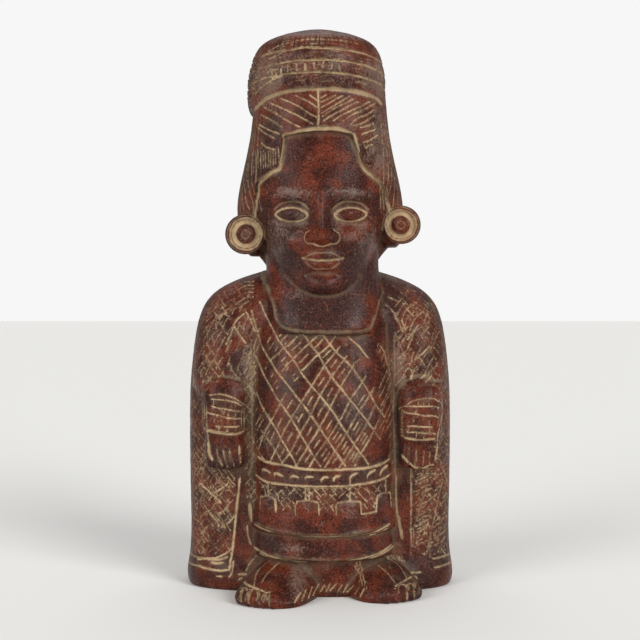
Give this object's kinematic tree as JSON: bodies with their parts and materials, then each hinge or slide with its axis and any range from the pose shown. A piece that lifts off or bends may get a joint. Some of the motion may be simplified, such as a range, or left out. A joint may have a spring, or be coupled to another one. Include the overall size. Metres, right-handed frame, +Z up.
{
  "type": "terracotta figure",
  "caption": "Standing folk figure of red-slipped terracotta with a domed ringed cap, ear spools, hatched tunic and long mantle, modelled as one solid.",
  "frame": {"origin": "centre of the footprint, on the ground under the figure", "axes": "+Z up from the base to the crown, -Y the way the figure faces, +X to the figure's left (the viewer's right)"},
  "size_m": [0.1462, 0.0994, 0.3],
  "materials": {
    "terracotta": "matte fired clay with a burnished red-brown slip and a pale wash in the incised lines"
  },
  "bodies": {
    "root": {"figure": "terracotta"}
  },
  "joints": []
}
